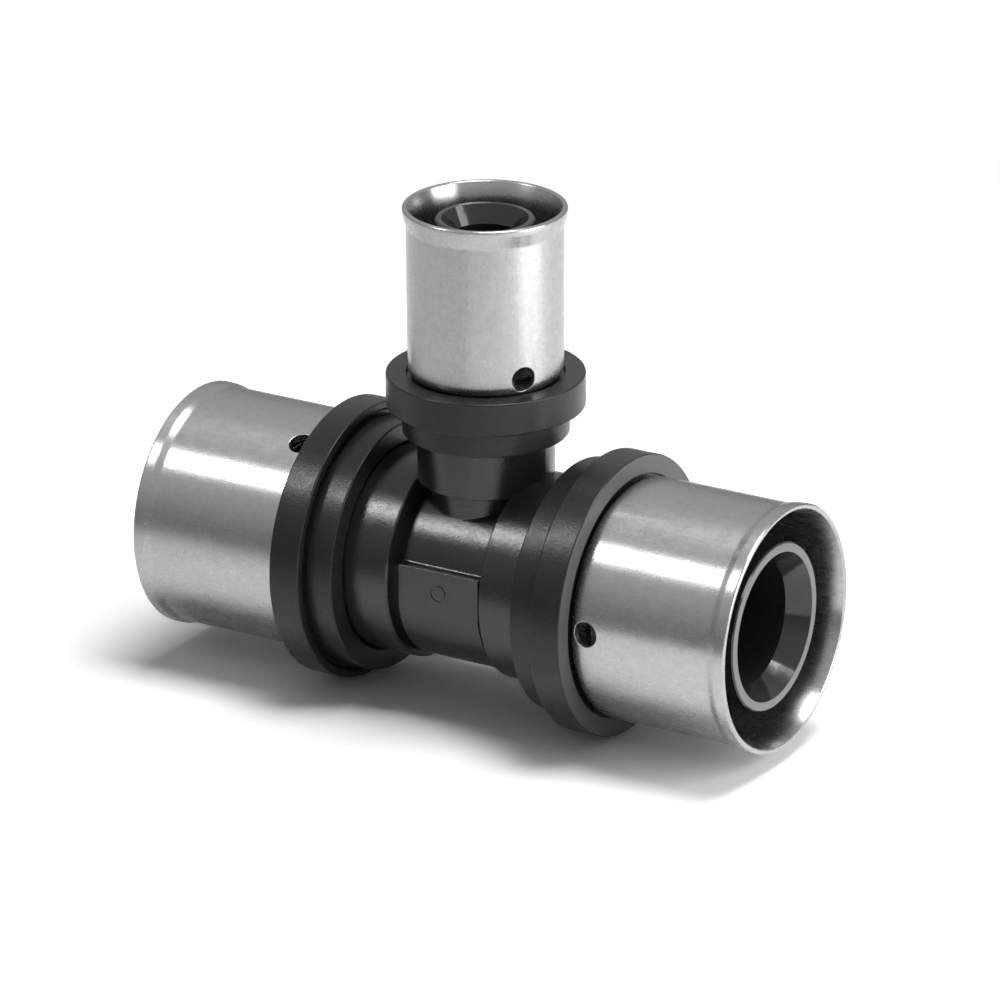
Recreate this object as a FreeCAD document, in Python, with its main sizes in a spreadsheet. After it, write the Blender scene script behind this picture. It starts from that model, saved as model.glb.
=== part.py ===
"""Reducing tee for multilayer pipe, with pressed stainless sleeves.

The frame: the run lies along X, the branch rises along +Z, and the origin is where the two
centre lines cross. Every port is drawn in a frame of its own, whose +Z runs outward along the
centre line of the port, and is then turned into place. A reach is a distance from the crossing
of the centre lines, measured outward along a port.
"""
import FreeCAD, Part
import Sketcher
import math
import os

V = FreeCAD.Vector

# Driving dimensions, in millimetres

SIZES = [
    # Run ports, for a pipe of 26 by 3
    ("run_bore_radius", 7.3),
    ("run_tip_wall", 1.11),
    ("run_lead_in", 2.7),
    ("run_insert_radius", 9.86),
    ("run_insert_reach", 38.2),
    ("run_root_radius", 12.2),
    ("run_shoulder_reach", 19.0),
    ("run_seal_section", 1.5),
    ("run_inner_land", 3.25),
    ("run_outer_land", 3.7),
    ("run_sleeve_radius", 14.15),
    ("run_sleeve_wall", 0.75),
    ("run_sleeve_reach", 39.6),
    ("run_foot_round", 1.8),
    ("run_lip_flare", 0.38),
    ("run_lip_length", 2.3),
    ("run_lip_land", 1.4),
    ("run_window_radius", 1.475),
    ("run_window_setback", 2.46),
    ("run_collar_wall", 2.28),
    ("run_collar_width", 3.95),
    ("run_collar_step", 1.65),
    ("run_skirt_width", 3.52),
    # Branch port, for a pipe of 16 by 2
    ("branch_bore_radius", 3.9),
    ("branch_tip_wall", 0.75),
    ("branch_lead_in", 2.1),
    ("branch_insert_radius", 5.75),
    ("branch_insert_reach", 42.4),
    ("branch_root_radius", 7.95),
    ("branch_shoulder_reach", 23.5),
    ("branch_seal_section", 1.2),
    ("branch_inner_land", 3.3),
    ("branch_outer_land", 3.85),
    ("branch_sleeve_radius", 9.0),
    ("branch_sleeve_wall", 0.75),
    ("branch_sleeve_reach", 43.85),
    ("branch_foot_round", 1.4),
    ("branch_lip_flare", 0.45),
    ("branch_lip_length", 2.3),
    ("branch_lip_land", 0.8),
    ("branch_window_radius", 1.45),
    ("branch_window_setback", 2.1),
    ("branch_collar_wall", 2.38),
    ("branch_collar_width", 3.95),
    ("branch_collar_step", 1.85),
    ("branch_skirt_width", 3.25),
    # Hub, where the run and the branch meet
    ("hub_radius", 10.05),
    ("hub_half_length", 5.3),
    ("hub_groove_width", 0.8),
    ("hub_groove_depth", 0.7),
    ("trunk_radius", 6.4),
    ("neck_start", 10.85),
    ("band_step", 0.95),
    ("band_drop", 0.55),
    ("band_top", 2.6),
    ("band_hollow", 0.5),
    ("band_groove_depth", 0.6),
    ("label_cut", 0.2),
    ("mark_radius", 1.05),
    ("mark_line", 0.2),
    ("mark_depth", 0.1),
    # Details that every port shares
    ("window_count", 3),
    ("seat_step", 0.54),
    ("bead_step", 0.33),
    ("bead_width", 0.45),
    ("bead_ramp", 0.6),
    ("seal_proud", 0.19),
    ("seal_side_gap", 0.35),
    ("grip_pitch", 1.5),
    ("grip_width", 0.45),
    ("grip_depth", 0.3),
    ("tip_chamfer", 0.2),
    ("snap_depth", 0.35),
    ("snap_width", 0.8),
    ("snap_setback", 1.2),
    ("ring_gap", 0.1),
    ("cup_gap", 0.12),
    ("cup_drop", 0.05),
    ("cup_lip", 0.4),
    ("undercut_depth", 0.55),
    ("undercut_inset", 0.35),
    ("undercut_start", 0.15),
    ("throat_chamfer", 0.25),
    ("edge_round", 0.22),
    ("fine_round", 0.12),
    ("rim_flat", 0.02),
    ("flare_round", 1.2),
    ("lip_rise", 0.05),
]

# How far each sleeve is turned about its own port, in degrees, which shows in its windows

RIGHT_SLEEVE_TURN = -92.3
LEFT_SLEEVE_TURN = -25.1
BRANCH_SLEEVE_TURN = -30.0

GRIP_COUNT = 3
SHEET = "Sizes"

doc = FreeCAD.newDocument("ReducingTee")
sheet = doc.addObject("Spreadsheet::Sheet", SHEET)
for row, (alias, number) in enumerate(SIZES, start=1):
    sheet.set(f"A{row}", alias)
    sheet.set(f"B{row}", str(number))
    sheet.setAlias(f"B{row}", alias)
doc.recompute()


class Size:
    """A length that knows its value and the sheet expression that gives it."""

    def __init__(self, value, text):
        self.value = value
        self.text = text

    def __add__(self, other):
        return Size(self.value + other.value, f"({self.text} + {other.text})")

    def __sub__(self, other):
        return Size(self.value - other.value, f"({self.text} - {other.text})")

    def __mul__(self, factor):
        return Size(self.value * factor, f"({self.text} * {factor})")

    def __truediv__(self, divisor):
        return Size(self.value / divisor, f"({self.text} / {divisor})")


ZERO = Size(0.0, "0")


def size(alias):
    return Size(float(sheet.get(alias)), f"{SHEET}.{alias}")


class Port:
    """The sizes of one kind of port, read from the sheet by their prefix, and what follows from them."""

    def __init__(self, prefix):
        names = [alias for alias, number in SIZES if alias.startswith(prefix + "_")]
        for alias in names:
            setattr(self, alias[len(prefix) + 1:], size(alias))
        self.find_insert()
        self.find_sleeve()
        self.find_ring()

    def find_insert(self):
        half_groove = self.seal_section / 2 + size("seal_side_gap")
        self.mouth_radius = self.insert_radius - self.tip_wall
        self.seat_radius = self.insert_radius + size("seat_step")
        self.bead_radius = self.seat_radius + size("bead_step")
        self.seat_end = self.shoulder_reach + self.sleeve_wall + size("cup_drop")
        self.bead_end = self.seat_end + size("bead_width")
        self.ramp_end = self.bead_end + size("bead_ramp")
        self.seal_floor = self.insert_radius + size("seal_proud") - self.seal_section
        self.seal_inner_reach = self.ramp_end + self.inner_land + half_groove
        self.seal_outer_reach = self.insert_reach - self.outer_land - half_groove
        self.snap_end = self.shoulder_reach - size("snap_setback")
        self.snap_start = self.snap_end - size("snap_width")

    def find_sleeve(self):
        self.lip_radius = self.sleeve_radius + self.lip_flare
        self.lip_start = self.sleeve_reach - self.lip_length
        self.lip_land_start = self.sleeve_reach - self.lip_land
        self.lip_land_radius = self.lip_radius - size("lip_rise")
        self.window_reach = self.shoulder_reach + self.window_setback

    def find_ring(self):
        self.ring_bore = self.root_radius + size("ring_gap")
        self.cup_radius = self.sleeve_radius + size("cup_gap")
        self.cup_floor = self.shoulder_reach - size("cup_drop")
        self.collar_reach = self.shoulder_reach + size("cup_lip")
        self.collar_start = self.collar_reach - self.collar_width
        self.collar_radius = self.cup_radius + self.collar_wall
        self.skirt_radius = self.collar_radius - self.collar_step
        self.skirt_reach = self.collar_start - self.skirt_width


RUN = Port("run")
BRANCH = Port("branch")


# Sketching: how the sketcher numbers the points of a line or arc, and its own two axes

START = 1
END = 2
CENTRE = 3
AXIS_X = -1
AXIS_Y = -2


def corner(x, y, rounding=None):
    """One corner of an outline: where its two sides would meet, and the radius that rounds it."""
    return (x, y, rounding)


def round_points(before, here, after, radius):
    """Where an arc of the given radius leaves the first side and joins the second, and its centre."""
    to_before = (before - here).normalize()
    to_after = (after - here).normalize()
    half_angle = to_before.getAngle(to_after) / 2
    along = radius / math.tan(half_angle)
    middle = (to_before + to_after).normalize()
    centre = here + middle * (radius / math.sin(half_angle))
    return here + to_before * along, here + to_after * along, centre


def arc_between(start, end, centre, radius):
    """The shorter arc between two points, and whether it runs from start to end."""
    first = math.atan2(start.y - centre.y, start.x - centre.x)
    last = math.atan2(end.y - centre.y, end.x - centre.x)
    forward = (last - first) % (2 * math.pi) < math.pi
    circle = Part.Circle(centre, V(0, 0, 1), radius)
    if forward:
        return Part.ArcOfCircle(circle, first, last), True
    return Part.ArcOfCircle(circle, last, first), False


def place_point(sketch, constraints, bound, geometry, position, x, y):
    """Tie a point to its distances from the axes, and remember which constraint takes which size."""
    for axis, kind, length in ((AXIS_Y, "DistanceX", x), (AXIS_X, "DistanceY", y)):
        if abs(length.value) < 1e-9:
            constraints.append(Sketcher.Constraint("PointOnObject", geometry, position, axis))
        else:
            bound.append((len(constraints), length.text))
            constraints.append(Sketcher.Constraint(kind, AXIS_X, START, geometry, position, length.value))


def draw_outline(sketch, corners):
    """Draw a closed outline of straight sides through the corners, with arcs at the rounded ones."""
    count = len(corners)
    points = [V(x.value, y.value, 0) for x, y, rounding in corners]
    leaving = list(points)
    joining = list(points)
    centres = {}
    for i, (x, y, rounding) in enumerate(corners):
        if rounding is not None:
            before, after = points[i - 1], points[(i + 1) % count]
            start, end, centre = round_points(before, points[i], after, rounding.value)
            joining[i], leaving[i], centres[i] = start, end, centre

    constraints = []
    bound = []
    sides = []
    for i in range(count):
        following = (i + 1) % count
        line = Part.LineSegment(leaving[i], joining[following])
        sides.append(sketch.addGeometry(line, False))

    for i, (x, y, rounding) in enumerate(corners):
        incoming, outgoing = sides[i - 1], sides[i]
        if rounding is None:
            constraints.append(Sketcher.Constraint("Coincident", incoming, END, outgoing, START))
            place_point(sketch, constraints, bound, outgoing, START, x, y)
            continue
        arc, forward = arc_between(joining[i], leaving[i], centres[i], rounding.value)
        bend = sketch.addGeometry(arc, False)
        vertex = sketch.addGeometry(Part.Point(points[i]), True)
        first, last = (START, END) if forward else (END, START)
        constraints.append(Sketcher.Constraint("Tangent", incoming, END, bend, first))
        constraints.append(Sketcher.Constraint("Tangent", outgoing, START, bend, last))
        constraints.append(Sketcher.Constraint("PointOnObject", vertex, START, incoming))
        constraints.append(Sketcher.Constraint("PointOnObject", vertex, START, outgoing))
        bound.append((len(constraints), rounding.text))
        constraints.append(Sketcher.Constraint("Radius", bend, rounding.value))
        place_point(sketch, constraints, bound, vertex, START, x, y)

    sketch.addConstraint(constraints)
    for index, text in bound:
        sketch.setExpression(f"Constraints[{index}]", text)


def new_body(label):
    body = doc.addObject("PartDesign::Body", label)
    body.Label = label
    return body


def origin_feature(body, role):
    for feature in body.Origin.OriginFeatures:
        if feature.Role == role:
            return feature
    raise ValueError(role)


def sketch_on(body, role, name):
    sketch = body.newObject("Sketcher::SketchObject", name)
    sketch.AttachmentSupport = [(origin_feature(body, role), "")]
    sketch.MapMode = "FlatFace"
    return sketch


def revolve(body, kind, name, sketch, axis_role):
    """Turn a profile fully about one of the body's own axes, to add or to cut."""
    feature = body.newObject(kind, name)
    feature.Profile = sketch
    feature.ReferenceAxis = (origin_feature(body, axis_role), [""])
    feature.Angle = 360
    sketch.Visibility = False
    doc.recompute()
    return feature


def mirror_about_centre(body, name, originals):
    mirror = body.newObject("PartDesign::Mirrored", name)
    mirror.Originals = originals
    mirror.MirrorPlane = (origin_feature(body, "YZ_Plane"), [""])
    body.Tip = mirror
    doc.recompute()
    return mirror


# Outlines of the body, as pairs of reach and radius

def seal_groove(port, middle):
    """The square groove that holds one seal."""
    half = port.seal_section / 2 + size("seal_side_gap")
    return [
        (middle - half, port.insert_radius),
        (middle - half, port.seal_floor),
        (middle + half, port.seal_floor),
        (middle + half, port.insert_radius),
    ]


def grip_grooves(port):
    """Narrow notches between the two seals, which bite into the pipe when the sleeve is pressed."""
    middle = (port.seal_inner_reach + port.seal_outer_reach) / 2
    half = size("grip_width") / 2
    floor = port.insert_radius - size("grip_depth")
    outline = []
    for i in range(GRIP_COUNT):
        centre = middle + size("grip_pitch") * (i - (GRIP_COUNT - 1) / 2)
        outline.append((centre - half, port.insert_radius))
        outline.append((centre - half, floor))
        outline.append((centre + half, port.insert_radius))
    return outline


def port_outline(port):
    """From the root of a port to its tip: snap groove, shoulder, sleeve seat, bead, seals and grips."""
    snap_floor = port.root_radius - size("snap_depth")
    chamfer = size("tip_chamfer")
    outline = [
        (port.snap_start, port.root_radius),
        (port.snap_start, snap_floor),
        (port.snap_end, snap_floor),
        (port.snap_end, port.root_radius),
        (port.shoulder_reach, port.root_radius),
        (port.shoulder_reach, port.seat_radius),
        (port.seat_end, port.seat_radius),
        (port.seat_end, port.bead_radius),
        (port.bead_end, port.bead_radius),
        (port.ramp_end, port.insert_radius),
    ]
    outline += seal_groove(port, port.seal_inner_reach)
    outline += grip_grooves(port)
    outline += seal_groove(port, port.seal_outer_reach)
    outline += [
        (port.insert_reach - chamfer, port.insert_radius),
        (port.insert_reach, port.insert_radius - chamfer),
        (port.insert_reach, ZERO),
    ]
    return outline


def bore_outline(port):
    """The waterway of a port, from the crossing to the cone of its mouth."""
    return [
        (ZERO, ZERO),
        (ZERO, port.bore_radius),
        (port.insert_reach - port.lead_in, port.bore_radius),
        (port.insert_reach, port.mouth_radius),
        (port.insert_reach, ZERO),
    ]


def along_x(outline):
    return [corner(reach, radius) for reach, radius in outline]


def along_z(outline):
    return [corner(radius, reach) for reach, radius in outline]


# The one-piece moulded body

def make_tee_body():
    body = new_body("tee_body")

    root_start = size("hub_half_length") + size("hub_groove_width")
    groove_floor = size("hub_radius") - size("hub_groove_depth")
    run_half = sketch_on(body, "XY_Plane", "RunHalf")
    hub = [
        corner(ZERO, ZERO),
        corner(ZERO, size("hub_radius")),
        corner(size("hub_half_length"), size("hub_radius"), size("fine_round")),
        corner(size("hub_half_length"), groove_floor),
        corner(root_start, groove_floor),
        corner(root_start, RUN.root_radius, size("edge_round")),
    ]
    draw_outline(run_half, hub + along_x(port_outline(RUN)))
    run = revolve(body, "PartDesign::Revolution", "RunOutside", run_half, "X_Axis")
    mirror_about_centre(body, "RunOtherHalf", [run])

    add_lower_band(body, "LowerBand", size("hub_radius"), ZERO, size("hub_half_length"))
    add_lower_band(body, "LowerGrooves", groove_floor, size("band_groove_depth"), root_start)

    branch_half = sketch_on(body, "XZ_Plane", "BranchHalf")
    stem = [
        corner(ZERO, ZERO),
        corner(size("trunk_radius"), ZERO),
        corner(size("trunk_radius"), size("neck_start")),
        corner(BRANCH.root_radius, size("neck_start"), size("edge_round")),
    ]
    draw_outline(branch_half, stem + along_z(port_outline(BRANCH)))
    revolve(body, "PartDesign::Revolution", "BranchOutside", branch_half, "Z_Axis")

    run_bore = sketch_on(body, "XY_Plane", "RunBore")
    draw_outline(run_bore, along_x(bore_outline(RUN)))
    bore = revolve(body, "PartDesign::Groove", "RunWaterway", run_bore, "X_Axis")
    mirror_about_centre(body, "RunWaterwayOtherHalf", [bore])

    branch_bore = sketch_on(body, "XZ_Plane", "BranchBore")
    draw_outline(branch_bore, along_z(bore_outline(BRANCH)))
    revolve(body, "PartDesign::Groove", "BranchWaterway", branch_bore, "Z_Axis")

    cut_label_mark(body)
    return body


def label_depth():
    """How far the flat label stands in front of the centre line."""
    return size("hub_radius") + size("band_step") - size("label_cut")


def add_lower_band(body, name, core, inset, half_length):
    """The thicker lower side of the hub: part of a round, cut level on top and flat at the label,
    with a hollow rounding up to the round core that it stands on and a fine one over the label.
    The inset draws the same section smaller all round, for the floor of the two grooves beside it."""
    radius = size("hub_radius") + size("band_step") - inset
    top = size("band_top") - inset
    depth = label_depth() - inset
    drop = size("band_drop")
    fine = size("fine_round")
    hollow = size("band_hollow")
    foot = drop.value + math.sqrt(radius.value ** 2 - depth.value ** 2)
    back = math.sqrt(radius.value ** 2 - (top.value + drop.value) ** 2)
    middle_height = top.value + hollow.value
    middle = math.sqrt((core.value + hollow.value) ** 2 - middle_height ** 2)
    slope = math.atan2(middle_height, middle)

    def line(start, end):
        return Part.LineSegment(V(*start, 0), V(*end, 0))

    def arc(centre, rounding, first, last):
        return Part.ArcOfCircle(Part.Circle(V(*centre, 0), V(0, 0, 1), rounding.value), first, last)

    def on_core(side):
        return (side * core.value * math.cos(slope), core.value * math.sin(slope))

    front_foot = (-depth.value, -foot)
    below_start = math.atan2(drop.value - foot, -depth.value)
    below_end = math.atan2(top.value + drop.value, back)
    sketch = sketch_on(body, "YZ_Plane", name)
    front = sketch.addGeometry(line(front_foot, (-depth.value, top.value - fine.value)), False)
    edge_centre = (fine.value - depth.value, top.value - fine.value)
    edge = sketch.addGeometry(arc(edge_centre, fine, math.pi / 2, math.pi), False)
    front_level = sketch.addGeometry(line((fine.value - depth.value, top.value), (-middle, top.value)), False)
    front_hollow = sketch.addGeometry(arc((-middle, middle_height), hollow, -math.pi / 2, -slope), False)
    chord = sketch.addGeometry(line(on_core(-1), on_core(1)), False)
    back_hollow = sketch.addGeometry(
        arc((middle, middle_height), hollow, math.pi + slope, 1.5 * math.pi), False)
    back_level = sketch.addGeometry(line((middle, top.value), (back, top.value)), False)
    below = sketch.addGeometry(arc((0, -drop.value), radius, below_start, below_end), False)
    rays = [
        sketch.addGeometry(line((0, 0), (side * middle, middle_height)), True) for side in (-1, 1)
    ]

    sketch.addConstraint([
        Sketcher.Constraint("Coincident", front, START, below, START),
        Sketcher.Constraint("Coincident", back_level, END, below, END),
        Sketcher.Constraint("Tangent", front, END, edge, END),
        Sketcher.Constraint("Tangent", edge, START, front_level, START),
        Sketcher.Constraint("Tangent", front_level, END, front_hollow, START),
        Sketcher.Constraint("Coincident", front_hollow, END, chord, START),
        Sketcher.Constraint("Coincident", chord, END, back_hollow, START),
        Sketcher.Constraint("Tangent", back_hollow, END, back_level, START),
        Sketcher.Constraint("Vertical", front),
        Sketcher.Constraint("Horizontal", back_level),
        Sketcher.Constraint("PointOnObject", below, CENTRE, AXIS_Y),
    ])
    for ray, bend, end in ((rays[0], front_hollow, END), (rays[1], back_hollow, START)):
        sketch.addConstraint([
            Sketcher.Constraint("Coincident", ray, START, AXIS_X, START),
            Sketcher.Constraint("Coincident", ray, END, bend, CENTRE),
            Sketcher.Constraint("PointOnObject", bend, end, ray),
        ])
    lengths = [
        ("Radius", (below,), radius),
        ("DistanceY", (below, CENTRE, AXIS_X, START), drop),
        ("DistanceX", (front, START, AXIS_X, START), depth),
        ("Radius", (edge,), fine),
        ("Radius", (front_hollow,), hollow),
        ("Radius", (back_hollow,), hollow),
        ("DistanceY", (AXIS_X, START, front_level, START), top),
        ("DistanceY", (AXIS_X, START, back_level, END), top),
        ("Distance", (rays[0],), core + hollow),
        ("Distance", (rays[1],), core + hollow),
    ]
    for kind, places, length in lengths:
        index = sketch.addConstraint(Sketcher.Constraint(kind, *places, length.value))
        sketch.setExpression(f"Constraints[{index}]", length.text)

    band = body.newObject("PartDesign::Pad", name + "Pad")
    band.Profile = sketch
    band.Midplane = True
    band.setExpression("Length", (half_length * 2).text)
    sketch.Visibility = False
    doc.recompute()
    return band


def cut_label_mark(body):
    """A plain moulded ring in the middle of the flat label."""
    outer = size("mark_radius")
    inner = outer - size("mark_line")
    sketch = sketch_on(body, "XZ_Plane", "LabelMark")
    sketch.setExpression("AttachmentOffset.Base.z", label_depth().text)
    for index, radius in enumerate((outer, inner)):
        circle = sketch.addGeometry(Part.Circle(V(0, 0, 0), V(0, 0, 1), radius.value), False)
        sketch.addConstraint([
            Sketcher.Constraint("Coincident", circle, CENTRE, AXIS_X, START),
            Sketcher.Constraint("Radius", circle, radius.value),
        ])
        sketch.setExpression(f"Constraints[{2 * index + 1}]", radius.text)
    doc.recompute()

    before = body.Shape.Volume
    mark = body.newObject("PartDesign::Pocket", "LabelMarkCut")
    mark.Profile = sketch
    mark.setExpression("Length", size("mark_depth").text)
    sketch.Visibility = False
    doc.recompute()
    if body.Shape.Volume >= before:
        raise RuntimeError("the label mark cuts nothing")
    return mark


# The retaining rings

def make_ring(label, port):
    """A moulded ring on the root of a port: a plain skirt, an undercut, and the wide collar whose
    shallow cup holds the foot of the sleeve."""
    body = new_body(label)
    sketch = sketch_on(body, "XZ_Plane", label + "_profile")
    edge = size("edge_round")
    fine = size("fine_round")
    gap = size("ring_gap")
    bead_radius = port.ring_bore - size("snap_depth")
    throat = size("throat_chamfer")
    skirt_end = port.collar_start - size("undercut_start")
    undercut_floor = port.collar_start + size("undercut_depth")
    undercut_inner = port.skirt_radius - size("undercut_inset")
    draw_outline(sketch, [
        corner(port.ring_bore, port.skirt_reach + throat),
        corner(port.ring_bore, port.snap_start + gap),
        corner(bead_radius, port.snap_start + gap),
        corner(bead_radius, port.snap_end - gap),
        corner(port.ring_bore, port.snap_end - gap),
        corner(port.ring_bore, port.cup_floor),
        corner(port.cup_radius, port.cup_floor),
        corner(port.cup_radius, port.collar_reach, fine),
        corner(port.collar_radius, port.collar_reach, edge),
        corner(port.collar_radius, port.collar_start, edge),
        corner(port.skirt_radius + port.collar_step / 2, port.collar_start),
        corner(port.skirt_radius + port.collar_step / 4, undercut_floor),
        corner(undercut_inner, undercut_floor),
        corner(undercut_inner, skirt_end),
        corner(port.skirt_radius, skirt_end, fine),
        corner(port.skirt_radius, port.skirt_reach, edge),
        corner(port.ring_bore + throat, port.skirt_reach),
    ])
    revolve(body, "PartDesign::Revolution", label + "_turned", sketch, "Z_Axis")
    return body


# The press sleeves

def make_sleeve(label, port):
    """A deep-drawn cup of thin stainless sheet, with a hole in its base for the insert, a rounded
    foot, three inspection windows and a mouth that widens to a nearly level land with a rounded rim."""
    body = new_body(label)
    sketch = sketch_on(body, "XZ_Plane", label + "_profile")
    wall = port.sleeve_wall
    base_hole = port.seat_radius + size("ring_gap")
    inner = port.sleeve_radius - wall
    lip_inner = port.lip_radius - wall
    rim_start = port.sleeve_reach - wall / 2
    rim_round = (wall - size("rim_flat")) / 2
    flare = size("flare_round")
    draw_outline(sketch, [
        corner(base_hole, port.shoulder_reach),
        corner(port.sleeve_radius, port.shoulder_reach, port.foot_round),
        corner(port.sleeve_radius, port.lip_start, flare),
        corner(port.lip_land_radius, port.lip_land_start, flare),
        corner(port.lip_radius, rim_start),
        corner(port.lip_radius, port.sleeve_reach, rim_round),
        corner(lip_inner, port.sleeve_reach, rim_round),
        corner(lip_inner, rim_start),
        corner(port.lip_land_radius - wall, port.lip_land_start, flare),
        corner(inner, port.lip_start, flare),
        corner(inner, port.shoulder_reach + wall, port.foot_round - wall),
        corner(base_hole, port.shoulder_reach + wall),
    ])
    revolve(body, "PartDesign::Revolution", label + "_drawn", sketch, "Z_Axis")

    window = sketch_on(body, "YZ_Plane", label + "_window")
    circle = Part.Circle(V(0, port.window_reach.value, 0), V(0, 0, 1), port.window_radius.value)
    hole = window.addGeometry(circle, False)
    window.addConstraint([
        Sketcher.Constraint("PointOnObject", hole, CENTRE, AXIS_Y),
        Sketcher.Constraint("DistanceY", AXIS_X, START, hole, CENTRE, port.window_reach.value),
        Sketcher.Constraint("Radius", hole, port.window_radius.value),
    ])
    window.setExpression("Constraints[1]", port.window_reach.text)
    window.setExpression("Constraints[2]", port.window_radius.text)
    doc.recompute()

    before = body.Shape.Volume
    cut = body.newObject("PartDesign::Pocket", label + "_window_cut")
    cut.Profile = window
    cut.Reversed = True
    cut.setExpression("Length", (port.sleeve_radius + port.lip_flare).text)
    window.Visibility = False
    doc.recompute()
    pattern = body.newObject("PartDesign::PolarPattern", label + "_windows")
    pattern.Originals = [cut]
    pattern.Axis = (origin_feature(body, "Z_Axis"), [""])
    pattern.Angle = 360
    pattern.setExpression("Occurrences", size("window_count").text)
    body.Tip = pattern
    doc.recompute()
    if body.Shape.Volume >= before:
        raise RuntimeError(label + ": the windows cut nothing")
    return body


# The seals

def make_seal(label, port, reach, turn):
    """One elastomer ring at the bottom of its groove."""
    seal = doc.addObject("Part::Torus", label)
    seal.Label = label
    seal.setExpression("Radius1", (port.seal_floor + port.seal_section / 2).text)
    seal.setExpression("Radius2", (port.seal_section / 2).text)
    direction = turn.multVec(V(0, 0, 1))
    seal.Placement = FreeCAD.Placement(direction * reach.value, turn)
    for axis in ("x", "y", "z"):
        share = round(getattr(direction, axis))
        seal.setExpression(f"Placement.Base.{axis}", (reach * share).text)
    return seal


# Assembly

OUTWARD = {
    "right": FreeCAD.Rotation(V(0, 1, 0), 90),
    "left": FreeCAD.Rotation(V(0, 1, 0), -90),
    "branch": FreeCAD.Rotation(),
}


def spin(angle):
    return FreeCAD.Rotation(V(0, 0, 1), angle)


def make_port_pieces(name, port, sleeve_turn):
    turn = OUTWARD[name]
    ring = make_ring(name + "_ring", port)
    ring.Placement = FreeCAD.Placement(V(0, 0, 0), turn)
    sleeve = make_sleeve(name + "_sleeve", port)
    sleeve.Placement = FreeCAD.Placement(V(0, 0, 0), turn.multiply(spin(sleeve_turn)))
    inner = make_seal(name + "_inner_seal", port, port.seal_inner_reach, turn)
    outer = make_seal(name + "_outer_seal", port, port.seal_outer_reach, turn)
    return [ring, sleeve, inner, outer]


pieces = [make_tee_body()]
pieces += make_port_pieces("right", RUN, RIGHT_SLEEVE_TURN)
pieces += make_port_pieces("left", RUN, LEFT_SLEEVE_TURN)
pieces += make_port_pieces("branch", BRANCH, BRANCH_SLEEVE_TURN)
doc.recompute()

# Check and write

for item in doc.Objects:
    if "Invalid" in item.State or "Error" in item.State:
        raise RuntimeError(item.Name + " failed: " + ", ".join(item.State))

for piece in pieces:
    shape = piece.Shape
    if shape.isNull() or not shape.isValid() or len(shape.Solids) != 1:
        raise RuntimeError(piece.Label + " is not one valid solid")

os.makedirs("parts", exist_ok=True)
for piece in pieces:
    piece.Shape.exportStep(os.path.join("parts", piece.Label + ".step"))
    box = piece.Shape.BoundBox
    print(f"{piece.Label}: {piece.Shape.Volume:.1f} mm3, X {box.XMin:.2f} {box.XMax:.2f},"
          f" Y {box.YMin:.2f} {box.YMax:.2f}, Z {box.ZMin:.2f} {box.ZMax:.2f}")
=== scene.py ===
"""Reducing tee: the finished surfaces of its pieces, the studio round it and the camera."""

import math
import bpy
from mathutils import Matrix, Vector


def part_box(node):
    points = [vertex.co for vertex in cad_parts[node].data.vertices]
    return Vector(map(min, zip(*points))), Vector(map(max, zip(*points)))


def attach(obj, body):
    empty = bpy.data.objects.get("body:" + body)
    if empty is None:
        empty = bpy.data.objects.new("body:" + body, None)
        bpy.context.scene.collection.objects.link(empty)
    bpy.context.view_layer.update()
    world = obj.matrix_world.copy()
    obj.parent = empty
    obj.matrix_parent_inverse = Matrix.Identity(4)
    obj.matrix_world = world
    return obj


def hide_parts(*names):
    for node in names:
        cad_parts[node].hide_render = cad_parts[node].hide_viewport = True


bl_info = {
    "name": "Reducing Tee",
    "version": (1, 0, 0),
    "blender": (4, 5, 0),
    "location": "View3D > Sidebar > Tee",
    "description": "Finished surfaces of a pressed reducing tee, with a plain studio",
    "category": "Add Mesh",
}

import bpy
import numpy as np
from bpy.props import FloatProperty, FloatVectorProperty, IntProperty, PointerProperty
from mathutils import Matrix, Vector

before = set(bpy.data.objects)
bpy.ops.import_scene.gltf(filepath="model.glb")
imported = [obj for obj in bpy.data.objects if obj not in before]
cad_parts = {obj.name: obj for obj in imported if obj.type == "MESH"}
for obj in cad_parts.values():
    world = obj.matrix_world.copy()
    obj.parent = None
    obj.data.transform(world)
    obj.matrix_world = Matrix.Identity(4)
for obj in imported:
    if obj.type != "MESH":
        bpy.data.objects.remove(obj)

MERGE = 1e-7
ARC_STEPS = 6
SECTION_STEPS = 32
FLOOR_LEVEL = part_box("right_ring")[0].z


# Properties: the sizes and colours that a user would change

def length(name, description, default):
    """A length property. The default is given in millimetres and kept in metres."""
    return FloatProperty(name=name, description=description, default=default / 1000, min=0.0,
                         precision=5, unit="LENGTH")


def share(name, description, default):
    return FloatProperty(name=name, description=description, default=default, min=0.0, max=1.0,
                         subtype="FACTOR")


def angle(name, description, default):
    """An angle property. The default is given in degrees and kept in radians."""
    return FloatProperty(name=name, description=description, default=math.radians(default),
                         unit="ROTATION")


def colour(name, description, default):
    return FloatVectorProperty(name=name, description=description, default=default, size=3,
                               min=0.0, max=1.0, subtype="COLOR")


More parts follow.
